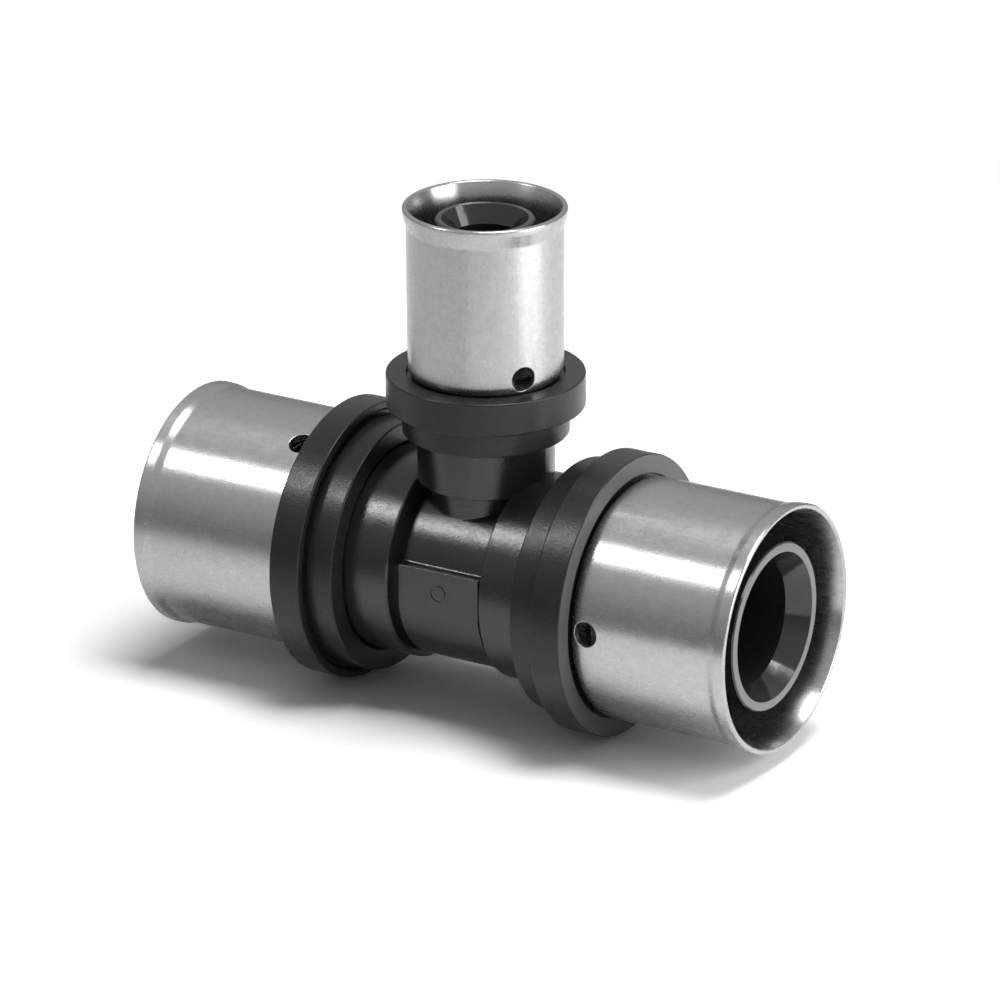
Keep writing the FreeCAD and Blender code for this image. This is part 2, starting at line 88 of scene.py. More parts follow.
class RunPortSizes(bpy.types.PropertyGroup):
    """The two ports in line. A reach is measured outward from where the centre lines cross."""

    root_radius: length("Root radius", "Radius of the body under the ring", 12.2)
    shoulder_reach: length("Shoulder reach", "Where the foot of the sleeve rests", 19.0)
    insert_radius: length("Insert radius", "Outer radius of the pipe insert", 9.86)
    seal_section: length("Seal section", "Thickness of a seal", 1.5)
    inner_seal_reach: length("Inner seal", "Middle of the seal nearer to the hub", 25.2)
    outer_seal_reach: length("Outer seal", "Middle of the seal nearer to the mouth", 33.4)
    sleeve_radius: length("Sleeve radius", "Outer radius of the press sleeve", 14.15)
    sleeve_wall: length("Sleeve wall", "Thickness of the sheet", 0.75)
    sleeve_reach: length("Sleeve reach", "Tip of the sleeve's lip", 39.6)
    foot_round: length("Foot bend", "Outer radius of the bend at the sleeve's foot", 1.8)
    lip_flare: length("Lip flare", "How far the lip spreads", 0.38)
    lip_length: length("Lip length", "Length of the lip", 2.3)
    lip_land: length("Lip land", "Length of the nearly level part of the lip", 1.4)
    window_radius: length("Window radius", "Radius of an inspection window", 1.475)
    window_reach: length("Window reach", "Middle of the inspection windows", 21.46)
    collar_wall: length("Collar wall", "Thickness of the collar round the sleeve's foot", 2.28)
    collar_width: length("Collar width", "Width of the collar along the port", 3.95)
    collar_step: length("Collar step", "How far the collar stands above the skirt", 1.65)
    skirt_width: length("Skirt width", "Width of the skirt along the port", 3.52)


class BranchPortSizes(bpy.types.PropertyGroup):
    """The smaller port. A reach is measured outward from where the centre lines cross."""

    root_radius: length("Root radius", "Radius of the body under the ring", 7.95)
    shoulder_reach: length("Shoulder reach", "Where the foot of the sleeve rests", 23.5)
    insert_radius: length("Insert radius", "Outer radius of the pipe insert", 5.75)
    seal_section: length("Seal section", "Thickness of a seal", 1.2)
    inner_seal_reach: length("Inner seal", "Middle of the seal nearer to the hub", 29.6)
    outer_seal_reach: length("Outer seal", "Middle of the seal nearer to the mouth", 37.6)
    sleeve_radius: length("Sleeve radius", "Outer radius of the press sleeve", 9.0)
    sleeve_wall: length("Sleeve wall", "Thickness of the sheet", 0.75)
    sleeve_reach: length("Sleeve reach", "Tip of the sleeve's lip", 43.85)
    foot_round: length("Foot bend", "Outer radius of the bend at the sleeve's foot", 1.4)
    lip_flare: length("Lip flare", "How far the lip spreads", 0.45)
    lip_length: length("Lip length", "Length of the lip", 2.3)
    lip_land: length("Lip land", "Length of the nearly level part of the lip", 0.8)
    window_radius: length("Window radius", "Radius of an inspection window", 1.45)
    window_reach: length("Window reach", "Middle of the inspection windows", 25.6)
    collar_wall: length("Collar wall", "Thickness of the collar round the sleeve's foot", 2.38)
    collar_width: length("Collar width", "Width of the collar along the port", 3.95)
    collar_step: length("Collar step", "How far the collar stands above the skirt", 1.85)
    skirt_width: length("Skirt width", "Width of the skirt along the port", 3.25)


class SharedSizes(bpy.types.PropertyGroup):
    """Small details that every port has."""

    seat_step: length("Seat step", "Height of the sleeve's seat above the insert", 0.54)
    seal_proud: length("Seal height", "How far a seal stands above the insert", 0.19)
    ring_gap: length("Running gap", "Gap round the root under a ring", 0.1)
    cup_gap: length("Cup gap", "Gap between a sleeve and the collar round it", 0.12)
    cup_drop: length("Cup drop", "How far the cup's floor lies below the shoulder", 0.05)
    cup_lip: length("Cup lip", "How far the collar stands past the shoulder", 0.4)
    snap_depth: length("Snap depth", "Height of the bead that holds a ring", 0.35)
    snap_width: length("Snap width", "Width of the groove for that bead", 0.8)
    snap_setback: length("Snap setback", "Distance from that groove to the shoulder", 1.2)
    undercut_depth: length("Undercut depth", "Depth of the groove in the collar's back", 0.55)
    undercut_inset: length("Undercut inset", "How far that groove bites into the skirt", 0.35)
    undercut_start: length("Undercut start", "How far below the collar the skirt ends", 0.15)
    throat_chamfer: length("Throat chamfer", "Bevel at the mouth of a ring's bore", 0.25)
    edge_round: length("Edge rounding", "Rounding of a ring's outer edges", 0.22)
    fine_round: length("Fine rounding", "Rounding of a ring's small edges", 0.12)
    flare_round: length("Lip bends", "Rounding of the lip's two bends", 1.2)
    lip_rise: length("Lip rise", "How far the lip's land still spreads", 0.05)
    rim_flat: length("Rim flat", "Width of the flat left on the rim", 0.02)
    rim_wall: length("Rim wall", "Thickness of the sheet at the rim", 0.58)
    mouth_depth: length("Mouth depth", "How deep a sleeve's mouth widens", 3.0)
    window_edge: length("Window edge", "Rounding that the punch left round a window", 0.1)
    right_turn: angle("Right sleeve turn", "How far the right sleeve is turned", -92.3)
    left_turn: angle("Left sleeve turn", "How far the left sleeve is turned", -25.1)
    branch_turn: angle("Branch sleeve turn", "How far the branch sleeve is turned", -30.0)
    window_count: IntProperty(name="Windows", description="Inspection windows in a sleeve",
                              default=3, min=1, max=6)
    turn_step: angle("Turn step", "Angle between two columns of a turned surface", 1.0)


class FinishSettings(bpy.types.PropertyGroup):
    """Colours and gloss of the materials."""

    body_colour: colour("Body", "Colour of the moulded body", (0.017, 0.017, 0.018))
    body_roughness: share("Body roughness", "Roughness of the moulded body", 0.2)
    insert_roughness: share("Insert roughness", "Roughness of the polished inserts", 0.1)
    polish_reach: length("Polish reach", "How far out the inserts' polish begins", 20.0)
    branch_lead: length("Branch lead", "How much longer the branch's insert is than the run's", 4.2)
    # Painted reflection: the run inserts' flat ends are made paler, as if they mirrored the bright floor
    # on the right
    end_painted_reflection_colour: colour("Insert ends", "Colour of the inserts' flat ends", (0.16, 0.16, 0.16))
    end_roughness: share("End roughness", "Roughness of the inserts' flat ends", 0.45)
    end_reach: length("End reach", "Just short of the inserts' flat ends", 38.15)
    ring_colour: colour("Rings", "Colour of the retaining rings", (0.019, 0.019, 0.02))
    ring_roughness: share("Ring roughness", "Roughness of the rings", 0.3)
    # Painted light: the run collars' outer faces are made paler, as if lit from the bright right side
    mouth_painted_light_colour: colour("Ring mouths", "Colour of the flat faces round the run's sleeves",
                         (0.11, 0.11, 0.11))
    mouth_reach: length("Mouth reach", "Just short of those faces", 19.37)
    steel_colour: colour("Steel", "Colour of the press sleeves", (0.42, 0.42, 0.416))
    steel_roughness: share("Steel roughness", "Roughness of the press sleeves", 0.27)
    steel_stretch: share("Steel stretch", "How far the gloss is drawn out along the port", 0.7)
    seal_colour: colour("Seals", "Colour of the seals", (0.02, 0.02, 0.02))
    seal_roughness: share("Seal roughness", "Roughness of the seals", 0.42)


class StudioSettings(bpy.types.PropertyGroup):
    """Floor, light and camera."""

    floor_colour: colour("Floor", "Colour of the paper under the part", (0.9, 0.9, 0.9))
    floor_lift: FloatProperty(name="Floor lift", description="How much brighter the camera sees the paper",
                              default=1.36, min=0.0)
    fill: share("Fill", "How much of the room's light reaches dull surfaces", 0.27)
    azimuth: angle("Azimuth", "How far the camera stands to the right of the front", 31.332)
    elevation: angle("Elevation", "How far the camera stands above the horizon", 21.754)
    roll: angle("Roll", "How far the camera leans", -0.304)
    distance: length("Distance", "From the camera to where the centre lines cross", 826.18)
    lens: FloatProperty(name="Lens", description="Focal length", default=256.69, min=1.0,
                        subtype="DISTANCE_CAMERA")
    shift_x: FloatProperty(name="Shift X", description="Sideways shift of the picture",
                           default=0.01322)
    shift_y: FloatProperty(name="Shift Y", description="Upward shift of the picture",
                           default=0.06377)


# Surfaces

class Shell:
    """Gathers grids of points with their normals, and joins them into one closed mesh."""

    def __init__(self):
        self.points = []
        self.normals = []
        self.quads = []
        self.count = 0

    def add(self, points, normals):
        """Join neighbouring rows and columns of a grid by quads that face the way of its normals."""
        rows, columns = points.shape[:2]
        number = np.arange(rows * columns).reshape(rows, columns) + self.count
        quads = np.stack([number[:-1, :-1], number[:-1, 1:], number[1:, 1:], number[1:, :-1]], axis=-1)
        across = points[1:, 1:] - points[:-1, :-1]
        along = points[1:, :-1] - points[:-1, 1:]
        facing = np.cross(across, along)
        if np.sum(facing * normals[:-1, :-1]) < 0:
            quads = quads[:, :, ::-1]
        self.points.append(points.reshape(-1, 3))
        self.normals.append(normals.reshape(-1, 3))
        self.quads.append(quads.reshape(-1, 4))
        self.count += rows * columns

    def build(self, name, matrix):
        """Merge the points that the grids share. Every corner of a face keeps its grid's normal."""
        turn = np.array(matrix.to_3x3()).T
        quads = np.concatenate(self.quads)
        points = np.concatenate(self.points) @ turn
        normals = np.concatenate(self.normals)[quads] @ turn
        return join_corners(name, points, quads, normals)


def join_corners(name, points, faces, normals):
    """A mesh in which points closer than the merge distance are one vertex, and every corner of a
    face keeps the normal that it is given."""
    keys = np.round(points / MERGE).astype(np.int64)
    first, vertex = np.unique(keys, axis=0, return_index=True, return_inverse=True)[1:]
    mesh = bpy.data.meshes.new(name)
    mesh.from_pydata(points[first], [], vertex.reshape(-1)[faces])
    mesh.polygons.foreach_set("use_smooth", np.ones(len(faces), dtype=bool))
    mesh.update()
    facing = normals.reshape(-1, 3)
    mesh.normals_split_custom_set(facing / np.linalg.norm(facing, axis=1)[:, None])
    return link(name, mesh)


def joined_copy(name, source):
    """The frame's own triangles with their vertices joined and their corner normals kept."""
    mesh = source.data
    points = np.empty(3 * len(mesh.vertices))
    corners = np.empty(len(mesh.loops), dtype=np.int64)
    normals = np.empty(3 * len(mesh.loops))
    mesh.vertices.foreach_get("co", points)
    mesh.loops.foreach_get("vertex_index", corners)
    mesh.corner_normals.foreach_get("vector", normals)
    place = np.array(source.matrix_world)
    points = points.reshape(-1, 3) @ place[:3, :3].T + place[:3, 3]
    normals = normals.reshape(-1, 3, 3) @ place[:3, :3].T
    return join_corners(name, points, corners.reshape(-1, 3), normals)


def link(name, mesh):
    """A new object at the origin that holds the mesh."""
    item = bpy.data.objects.new(name, mesh)
    bpy.context.scene.collection.objects.link(item)
    return item


def turned(run, angles):
    """A run turned about the port's axis: (r, z) becomes (r cos a, r sin a, z) at every angle a,
    and its normal (u, w) becomes (u cos a, u sin a, w)."""
    r, z, u, w = run.T[:, :, None]
    across = np.cos(angles)[None, :]
    up = np.sin(angles)[None, :]
    level = np.ones_like(across)
    points = np.stack([r * across, r * up, z * level], axis=-1)
    normals = np.stack([u * across, u * up, w * level], axis=-1)
    return points, normals


def left_of(v):
    """Each direction turned a quarter to the left."""
    return np.stack([-v[..., 1], v[..., 0]], axis=-1)


def straight(start, end, normal):
    """A straight run between two points, with one normal."""
    return np.array([[*start, *normal], [*end, *normal]])


def arc(centre, radius, start, end, steps, hollow=False):
    """A run round a centre: c + r (cos a, sin a), whose normal is (cos a, sin a), or its opposite
    where the surface is hollow."""
    a = np.linspace(start, end, steps + 1)
    ray = np.stack([np.cos(a), np.sin(a)], axis=1)
    facing = -ray if hollow else ray
    return np.hstack([np.array(centre) + radius * ray, facing])


def rounded_outline(corners):
    """The runs of a closed outline. Its corners are rows of radius, reach and rounding. A rounded
    corner becomes an arc that leaves its sides at rounding times the tangent of half the turn."""
    table = np.array(corners, dtype=float)
    here = table[:, :2]
    rounding = table[:, 2]
    out = np.roll(here, -1, axis=0) - here
    out /= np.linalg.norm(out, axis=1)[:, None]
    into = np.roll(out, 1, axis=0)
    cross = into[:, 0] * out[:, 1] - into[:, 1] * out[:, 0]
    turn = np.arctan2(cross, np.sum(into * out, axis=1))
    along = rounding * np.tan(np.abs(turn) / 2)
    side = np.sign(turn.sum())
    runs = []
    for i in range(len(table)):
        j = (i + 1) % len(table)
        start = here[i] + out[i] * along[i]
        end = here[j] - out[i] * along[j]
        runs.append(straight(start, end, -side * left_of(out[i])))
        if rounding[j] > 0:
            runs.append(corner_arc(end, out[i], turn[j], rounding[j], side))
    return runs


def corner_arc(start, direction, turn, radius, side):
    """An arc that leaves a point in a direction and turns by an angle: the centre lies a radius to
    the side of the turn, and every point a radius from it, square to the path's own direction."""
    a = np.linspace(0, turn, ARC_STEPS + 1)
    heading = np.stack([direction[0] * np.cos(a) - direction[1] * np.sin(a),
                        direction[0] * np.sin(a) + direction[1] * np.cos(a)], axis=1)
    reach = np.sign(turn) * radius
    centre = start + reach * left_of(direction)
    return np.hstack([centre - reach * left_of(heading), -side * left_of(heading)])


# The ports

OUTWARD = {
    "right": Matrix.Rotation(math.radians(90), 4, "Y"),
    "left": Matrix.Rotation(math.radians(-90), 4, "Y"),
    "branch": Matrix.Identity(4),
}


def port_sizes(name):
    scene = bpy.context.scene
    return scene.tee_branch if name == "branch" else scene.tee_run


def all_round(step):
    """Angles once round, both ends included."""
    count = round(2 * math.pi / step)
    return np.radians(np.arange(count + 1) * 360 / count)


def ring_runs(port, shared):
    """The outline of a retaining ring: bore with its snap bead, cup, collar, undercut and skirt."""
    bore = port.root_radius + shared.ring_gap
    bead = bore - shared.snap_depth
    snap_end = port.shoulder_reach - shared.snap_setback - shared.ring_gap
    snap_start = snap_end - shared.snap_width + 2 * shared.ring_gap
    cup = port.sleeve_radius + shared.cup_gap
    cup_floor = port.shoulder_reach - shared.cup_drop
    top = port.shoulder_reach + shared.cup_lip
    back = top - port.collar_width
    collar = cup + port.collar_wall
    skirt = collar - port.collar_step
    skirt_start = back - port.skirt_width
    skirt_end = back - shared.undercut_start
    floor = back + shared.undercut_depth
    inner = skirt - shared.undercut_inset
    edge = shared.edge_round
    fine = shared.fine_round
    return rounded_outline([
        (bore, skirt_start + shared.throat_chamfer, 0),
        (bore, snap_start, 0),
        (bead, snap_start, 0),
        (bead, snap_end, 0),
        (bore, snap_end, 0),
        (bore, cup_floor, 0),
        (cup, cup_floor, 0),
        (cup, top, fine),
        (collar, top, edge),
        (collar, back, edge),
        (skirt + port.collar_step / 2, back, 0),
        (skirt + port.collar_step / 4, floor, 0),
        (inner, floor, 0),
        (inner, skirt_end, 0),
        (skirt, skirt_end, fine),
        (skirt, skirt_start, edge),
        (bore + shared.throat_chamfer, skirt_start, 0),
    ])


class SleeveForm:
    """The bent sheet of a sleeve, as curves of radius over reach."""

    def __init__(self, port, shared):
        self.port = port
        self.shared = shared
        self.foot = port.shoulder_reach
        self.wall = port.sleeve_wall
        self.outer = port.sleeve_radius
        self.bend = port.foot_round
        self.bend_radius = self.outer - self.bend
        self.bend_reach = self.foot + self.bend
        self.hole = port.insert_radius + shared.seat_step + shared.ring_gap
        self.window = port.window_reach
        self.window_radius = port.window_radius
        margin = 1.8 * shared.window_edge
        lowest = self.window - self.window_radius - margin
        self.zone_top = self.window + self.window_radius + 4 * margin
        self.zone_start = {0.0: lowest, self.wall: max(lowest, self.foot + self.wall + 0.04 * margin)}

    def radius_at(self, z, depth):
        """Radius of the skin that lies a depth below the outer one. Past the bend it is level, and
        in the bend it is that of a circle: c + the root of (b squared - (z - m) squared)."""
        b = self.bend - depth
        drop = np.minimum(z - self.bend_reach, 0)
        return self.bend_radius + np.sqrt(b * b - drop * drop)

    def normal_at(self, z, depth):
        """The outward direction there, which points away from the bend's centre line."""
        b = self.bend - depth
        drop = np.minimum(z - self.bend_reach, 0) / b
        return np.sqrt(1 - drop * drop), drop

    def foot_runs(self, depth):
        """The flat round the hole and the start of the bend, up to where the windows' zone begins."""
        facing = 1 if depth == 0 else -1
        level = self.foot + depth
        b = self.bend - depth
        flat = straight((self.hole, level), (self.bend_radius, level), (0, -facing))
        end = math.asin((self.zone_start[depth] - self.bend_reach) / b)
        centre = (self.bend_radius, self.bend_reach)
        bend = arc(centre, b, -math.pi / 2, end, ARC_STEPS, hollow=depth > 0)
        bend[-1, 1] = self.zone_start[depth]
        bend[-1, 0] = self.radius_at(self.zone_start[depth], depth)
        return [flat, bend]

    def mouth_runs(self):
        """The wall above the windows, the lip and the rim, out along the outer skin and back along
        the inner one. The lip widens to a nearly level land, and its inner side in one sweep, whose
        radius is the sweep's length over the tangent of half its lean."""
        top = self.port.sleeve_reach
        lip = self.outer + self.port.lip_flare
        land = (lip - self.shared.lip_rise, top - self.port.lip_land)
        start = (self.outer, top - self.port.lip_length)
        bend = self.shared.flare_round
        rim = (self.shared.rim_wall - self.shared.rim_flat) / 2
        inner = self.outer - self.wall
        mouth = lip - self.shared.rim_wall
        half = self.shared.mouth_depth / 2
        lean = math.atan((mouth - inner) / half)
        sweep = (half - self.wall / 2) / math.tan(lean / 2)
        return rounded_outline([
            (self.outer, self.zone_top, 0),
            (*start, bend),
            (*land, bend),
            (lip, top - self.wall / 2, 0),
            (lip, top, rim),
            (mouth, top, rim),
            (inner, top - half, sweep),
            (inner, self.zone_top, 0),
        ])[:-1]


def sleeve_shell(port, shared):
    """A whole sleeve: both skins, the rim between them at the lip, the edge of the foot's hole, and
    the windows."""
    form = SleeveForm(port, shared)
    shell = Shell()
    angles = all_round(shared.turn_step)
    step = angles[1]
    for run in form.foot_runs(0.0) + form.foot_runs(form.wall) + form.mouth_runs():
        shell.add(*turned(run, angles))
    edge = straight((form.hole, form.foot), (form.hole, form.foot + form.wall), (-1, 0))
    shell.add(*turned(edge, angles))

    spread = math.asin(1.3 * form.window_radius / form.outer)
    half = math.ceil(spread / step)
    pitch = round(len(angles[1:]) / shared.window_count)
    for i in range(shared.window_count):
        number = np.arange(half, pitch - half + 1) + i * pitch
        for depth in (0.0, form.wall):
            reach = zone_rows(form, half, depth)
            shell.add(*turned(zone_run(form, reach, depth), number * step))
        add_window(shell, form, half, step, i * pitch * step)
    return shell


def zone_rows(form, half, depth):
    """Reaches of the rows that cross the windows' zone: as many steps as half the columns doubled."""
    return np.linspace(form.zone_start[depth], form.zone_top, 2 * half + 1)


def zone_run(form, reach, depth):
    """The sheet's skin in the windows' zone."""
    facing = 1 if depth == 0 else -1
    across, along = form.normal_at(reach, depth)
    radius = form.radius_at(reach, depth)
    return np.stack([radius, reach, facing * across, facing * along], axis=1)


def patch_border(form, half, step, depth):
    """Once round the border of a window's patch, as pairs of sideways distance and reach."""
    reach = zone_rows(form, half, depth)
    columns = np.arange(-half, half + 1) * step
    side_a = np.stack([np.full(len(reach), columns[-1]), reach], axis=1)[:-1]
    side_b = np.stack([columns[::-1], np.full(len(columns), reach[-1])], axis=1)[:-1]
    side_c = np.stack([np.full(len(reach), columns[0]), reach[::-1]], axis=1)[:-1]
    side_d = np.stack([columns, np.full(len(columns), reach[0])], axis=1)
    border = np.vstack([side_a, side_b, side_c, side_d])
    border[:, 0] = form.radius_at(border[:, 1], depth) * np.sin(border[:, 0])
    return border


def on_skin(form, flat, depth):
    """Lay pairs of sideways distance y and reach z on a skin: the third way is the root of
    (r squared - y squared), and the normal leans as the skin's own does."""
    y, z = flat[..., 0], flat[..., 1]
    r = form.radius_at(z, depth)
    across, along = form.normal_at(z, depth)
    x = np.sqrt(r * r - y * y)
    points = np.stack([x, y, z], axis=-1)
    normals = np.stack([across * x / r, across * y / r, along], axis=-1)
    return points, normals


def add_window(shell, form, half, step, place):
    """One window. Between the patch's border and the round hole the points move along straight
    lines towards the hole's middle. The last of the way is rounded inward, as a punch leaves it,
    and a wall joins the two skins."""
    centre = np.array([0, form.window])
    edge = form.shared.window_edge
    border = patch_border(form, half, step, 0.0)
    ray = border - centre
    ray /= np.linalg.norm(ray, axis=1)[:, None]
    rim = centre + form.window_radius * ray
    start = rim + edge * ray

    share_in = np.linspace(0, 1, 6)[:, None, None]
    flat = border + (start - border) * share_in
    points, normals = on_skin(form, flat, 0.0)

    bow = np.linspace(0, math.pi / 2, 6)[1:, None, None]
    bent = rim + edge * ray * (1 - np.sin(bow))
    skin, facing = on_skin(form, bent, 0.0)
    inward = np.stack([np.zeros(len(ray)), -ray[:, 0], -ray[:, 1]], axis=-1)
    rounded = skin - facing * edge * (1 - np.cos(bow))
    rounded_normals = facing * np.cos(bow) + inward * np.sin(bow)
    outer = np.concatenate([points, rounded])
    outer_normals = np.concatenate([normals, rounded_normals])

    inner_border = patch_border(form, half, step, form.wall)
    inner_rim = rim.copy()
    lowest = form.zone_start[form.wall] + 0.1 * edge
    inner_rim[:, 1] = np.maximum(inner_rim[:, 1], lowest)
    inner_flat = inner_rim + (inner_border - inner_rim) * np.linspace(0, 1, 4)[:, None, None]
    inner, inner_normals = on_skin(form, inner_flat, form.wall)

    wall = np.stack([outer[-1], inner[0]])
    wall_normals = np.stack([inward, inward])

    spin = np.array(Matrix.Rotation(place, 3, "Z"))
    for grid, facing in ((outer, outer_normals), (wall, wall_normals), (inner, -inner_normals)):
        shell.add(grid @ spin.T, facing @ spin.T)


def seal_shell(port, shared, reach):
    """A torus: the section's circle carried round the port, as its own closed outline."""
    shell = Shell()
    section = port.seal_section / 2
    middle = port.insert_radius + shared.seal_proud - section
    circle = arc((middle, reach), section, 0, 2 * math.pi, SECTION_STEPS)
    shell.add(*turned(circle, all_round(3 * shared.turn_step)))
    return shell


# Materials

class Nodes:
    """A material's node tree, with short calls to add nodes and join them."""

    def __init__(self, name):
        self.material = bpy.data.materials.new(name)
        self.material.use_nodes = True
        self.tree = self.material.node_tree
        self.tree.nodes.clear()
        self.output = self.add("ShaderNodeOutputMaterial")
        self.coordinates = self.add("ShaderNodeTexCoord").outputs["Object"]

    def add(self, kind, **settings):
        node = self.tree.nodes.new(kind)
        for key, value in settings.items():
            setattr(node, key, value)
        return node

    def join(self, source, target):
        self.tree.links.new(source, target)

    def scaled(self, scale):
        """The object's coordinates stretched by a scale, for patterns with a grain."""
        mapping = self.add("ShaderNodeMapping")
        mapping.inputs["Scale"].default_value = scale
        self.join(self.coordinates, mapping.inputs["Vector"])
        return mapping.outputs["Vector"]

    def noise(self, size, detail=3.0, scale=(1, 1, 1), roughness=0.5):
        """Noise whose blots are about this many metres wide."""
        node = self.add("ShaderNodeTexNoise")
        node.inputs["Scale"].default_value = 1 / size
        node.inputs["Detail"].default_value = detail
        node.inputs["Roughness"].default_value = roughness
        self.join(self.scaled(scale), node.inputs["Vector"])
        return node.outputs["Fac"]

    def spread(self, value, low, high):
        """Noise, which seldom leaves 0.3 to 0.7, mapped to a range."""
        node = self.add("ShaderNodeMapRange")
        node.inputs["From Min"].default_value = 0.3
        node.inputs["From Max"].default_value = 0.7
        node.inputs["To Min"].default_value = low
        node.inputs["To Max"].default_value = high
        self.join(value, node.inputs["Value"])
        return node.outputs["Result"]

    def tint(self, value, low, high):
        """A colour between two, chosen by a value."""
        node = self.add("ShaderNodeMix", data_type="RGBA")
        node.inputs["A"].default_value = (*low, 1)
        node.inputs["B"].default_value = (*high, 1)
        self.join(value, node.inputs["Factor"])
        return node.outputs["Result"]

    def math(self, operation, value, second=None):
        node = self.add("ShaderNodeMath", operation=operation)
        self.join(value, node.inputs[0])
        if isinstance(second, float):
            node.inputs[1].default_value = second
        elif second is not None:
            self.join(second, node.inputs[1])
        return node.outputs["Value"]

    def blend(self, choice, value, other):
        """The value where the choice is 0, and the other number where it is 1."""
        node = self.add("ShaderNodeMix", data_type="FLOAT")
        node.inputs["B"].default_value = other
        self.join(choice, node.inputs["Factor"])
        self.join(value, node.inputs["A"])
        return node.outputs["Result"]

    def bump(self, height, distance, below=None):
        """A surface whose height varies by this many metres, laid on another such one."""
        node = self.add("ShaderNodeBump")
        node.inputs["Distance"].default_value = distance
        self.join(height, node.inputs["Height"])
        if below is not None:
            self.join(below, node.inputs["Normal"])
        return node.outputs["Normal"]

    def principled(self, **values):
        shader = self.add("ShaderNodeBsdfPrincipled")
        for key, value in values.items():
            shader.inputs[key].default_value = value
        self.join(shader.outputs["BSDF"], self.output.inputs["Surface"])
        return shader


def scaled_colour(base, factor):
    return tuple(min(c * factor, 1) for c in base)


def moulded_plastic(name, base, roughness, grain, depth, ior):
    """Moulded plastic: a fine grain, broad flow shades, and gloss that varies a little."""
    nodes = Nodes(name)
    shader = nodes.shader = nodes.principled(IOR=ior)
    flow = nodes.noise(0.006, detail=4)
    nodes.join(nodes.tint(flow, scaled_colour(base, 0.86), scaled_colour(base, 1.14)),
               shader.inputs["Base Color"])
    gloss = nodes.noise(0.0012, detail=5, roughness=0.6)
    nodes.join(nodes.spread(gloss, roughness - 0.04, roughness + 0.05), shader.inputs["Roughness"])
    broad = nodes.bump(nodes.noise(0.0011, detail=2), 6e-6)
    fine = nodes.bump(nodes.noise(grain, detail=2, roughness=0.6), depth, below=broad)
    nodes.join(fine, shader.inputs["Normal"])
    return nodes


def black_moulding(look):
    """The body's plastic. The inserts are polished, and their flat ends are dull, and paler by a
    painted reflection of the bright floor on the right."""
    nodes = moulded_plastic("black_moulding", look.body_colour, look.body_roughness,
                            grain=0.00023, depth=2.3e-5, ior=1.56)
    shader = nodes.shader
    parts = nodes.add("ShaderNodeSeparateXYZ")
    nodes.join(nodes.coordinates, parts.inputs["Vector"])
    run = nodes.math("ABSOLUTE", parts.outputs["X"])
    branch = nodes.math("SUBTRACT", parts.outputs["Z"], look.branch_lead)
    insert = nodes.math("GREATER_THAN", nodes.math("MAXIMUM", run, branch), look.polish_reach)
    gloss = shader.inputs["Roughness"].links[0].from_socket
    nodes.join(nodes.blend(insert, gloss, look.insert_roughness), shader.inputs["Roughness"])
    grain = shader.inputs["Normal"].links[0].from_node
    height = grain.inputs["Height"].links[0].from_socket
    nodes.join(nodes.blend(insert, height, 0.5), grain.inputs["Height"])
    # Painted reflection: the inserts' flat ends get a paler colour that stands in for the bright floor
    # they mirror
    dull(nodes, nodes.math("GREATER_THAN", run, look.end_reach), look.end_painted_reflection_colour, look.end_roughness)
    return nodes.material


def ring_moulding(look):
    """The rings' plastic. The flat faces round the mouths of the run's collars are dull, and paler by
    painted light from the bright right side.
    """
    nodes = moulded_plastic("dark_grey_moulding", look.ring_colour, look.ring_roughness,
                            grain=0.0003, depth=2e-5, ior=1.4)
    parts = nodes.add("ShaderNodeSeparateXYZ")
    nodes.join(nodes.coordinates, parts.inputs["Vector"])
    run = nodes.math("ABSOLUTE", parts.outputs["X"])
    # Painted light: the run collars' outer faces get a paler colour
    dull(nodes, nodes.math("GREATER_THAN", run, look.mouth_reach), look.mouth_painted_light_colour, look.end_roughness)
    return nodes.material


def dull(nodes, choice, base, roughness):
    """Where the choice is 1, give a plastic another colour, with fine speckles, and another gloss. The
    paler colours that it is given here are painted light.
    """
    shader = nodes.shader
    gloss = shader.inputs["Roughness"].links[0].from_socket
    nodes.join(nodes.blend(choice, gloss, roughness), shader.inputs["Roughness"])
    speckle = nodes.noise(0.00012, detail=2)
    mix = nodes.add("ShaderNodeMix", data_type="RGBA")
    nodes.join(choice, mix.inputs["Factor"])
    nodes.join(shader.inputs["Base Color"].links[0].from_socket, mix.inputs["A"])
    nodes.join(nodes.tint(speckle, scaled_colour(base, 0.7), scaled_colour(base, 1.3)), mix.inputs["B"])
    nodes.join(mix.outputs["Result"], shader.inputs["Base Color"])


